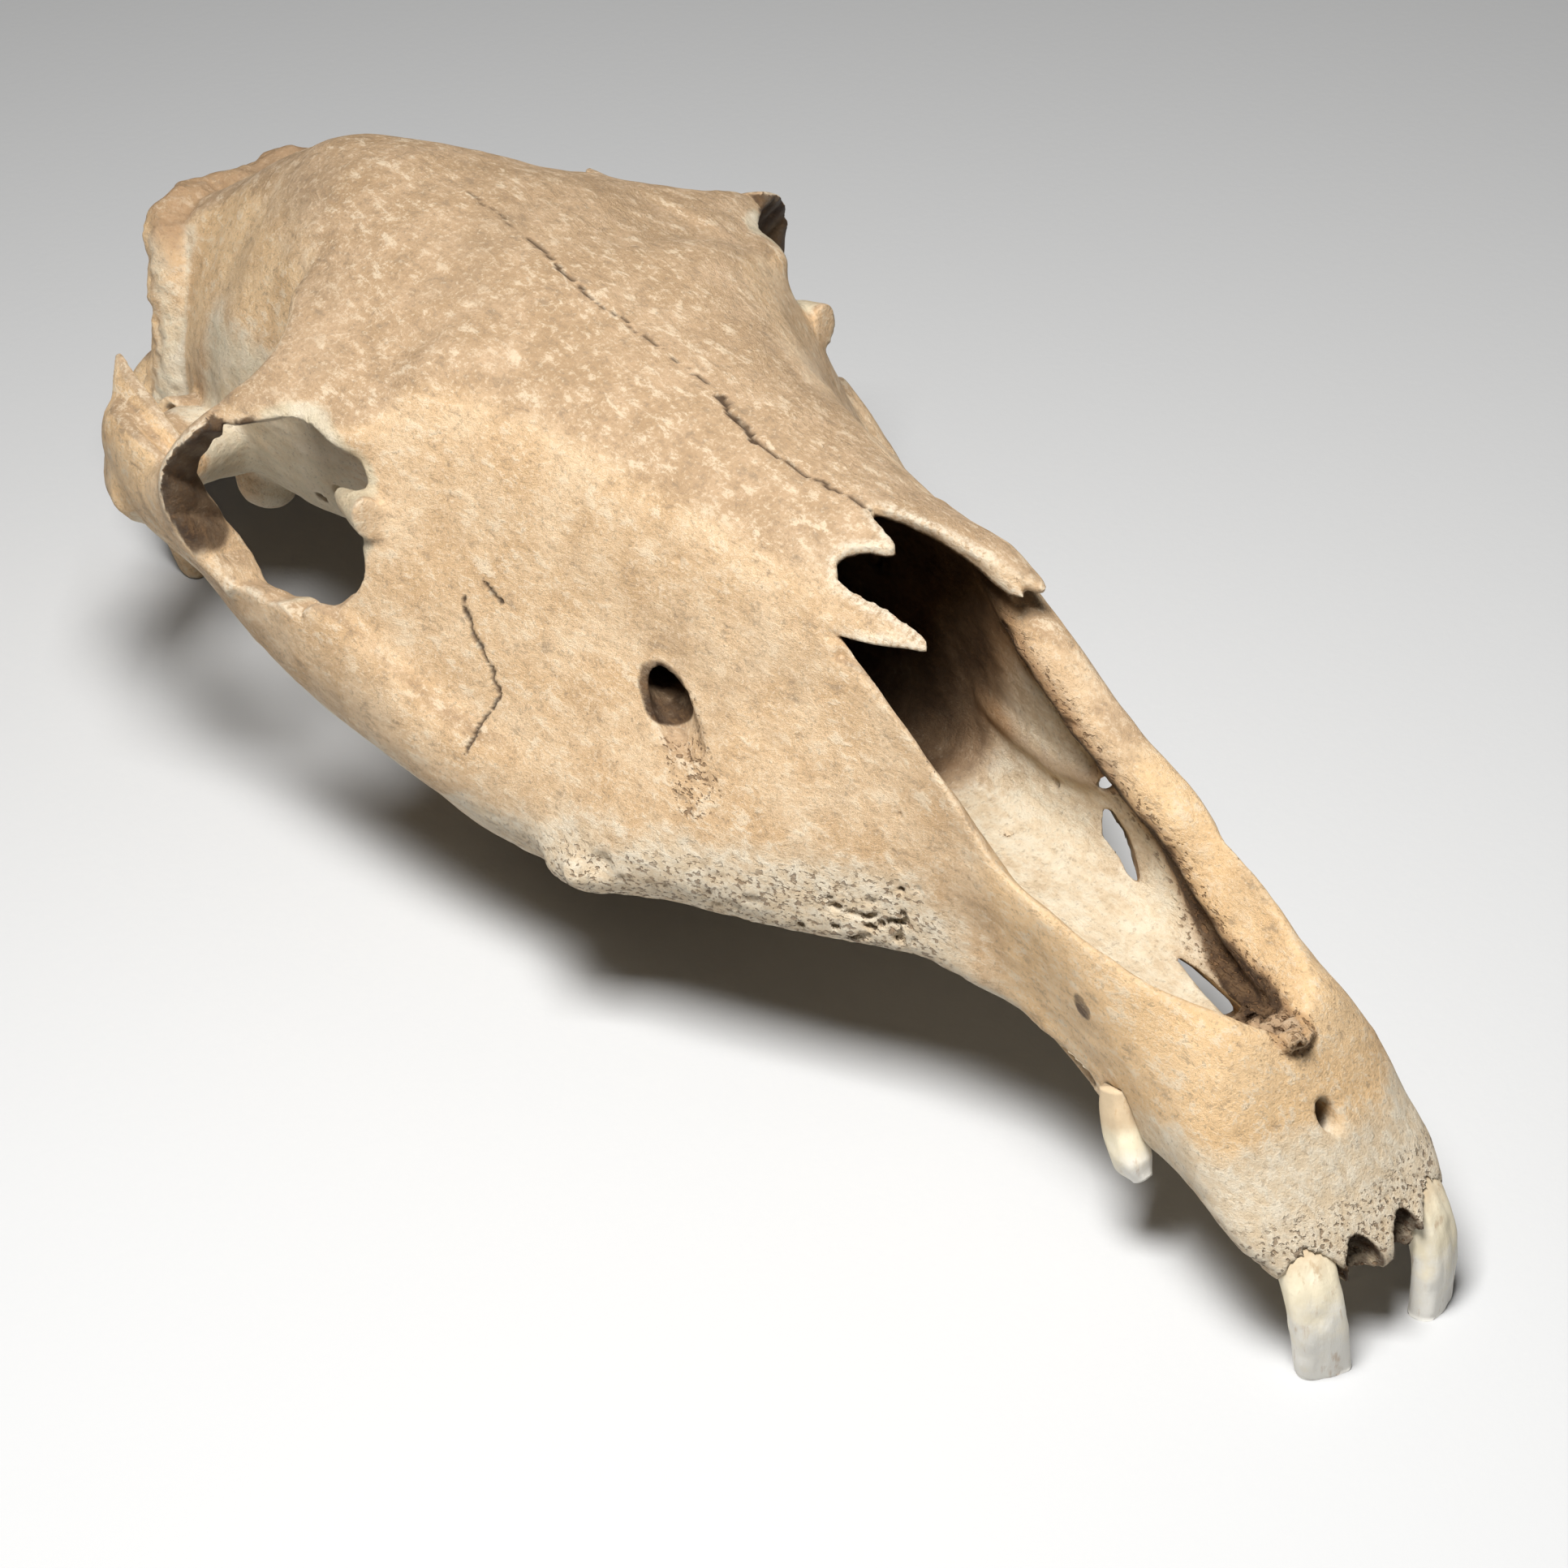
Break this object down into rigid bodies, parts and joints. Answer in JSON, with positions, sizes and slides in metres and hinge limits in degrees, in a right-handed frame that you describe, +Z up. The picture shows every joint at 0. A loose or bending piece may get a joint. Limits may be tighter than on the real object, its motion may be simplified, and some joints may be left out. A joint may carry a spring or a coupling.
{
  "type": "horse skull",
  "caption": "Weathered horse cranium without lower jaw, nasal bones broken short, resting on its side incisors and rear processes.",
  "frame": {"origin": "bottom centre of the box round the skull, on the floor it rests on", "axes": "-Y towards the incisors, +Y towards the back of the head, +X to the animal's left, +Z up"},
  "size_m": [0.2058, 0.5138, 0.1556],
  "materials": {
    "bone": "dry weathered bone, matte, tan with white flaking",
    "pale_bone": "dry porous bone, matte, cream",
    "tooth": "ivory enamel with brown staining, satin"
  },
  "bodies": {
    "root": {"premaxilla_left": "pale_bone", "premaxilla_right": "pale_bone", "nasal_left": "bone", "nasal_right": "bone", "maxilla_left": "bone", "maxilla_right": "bone", "frontal_left": "bone", "frontal_right": "bone", "zygomatic_arch_left": "bone", "zygomatic_arch_right": "bone", "parietal": "bone", "sphenoid": "pale_bone", "occipital": "bone", "incisor_left": "tooth", "incisor_right": "tooth", "canine_left": "tooth", "canine_right": "tooth"}
  },
  "joints": []
}
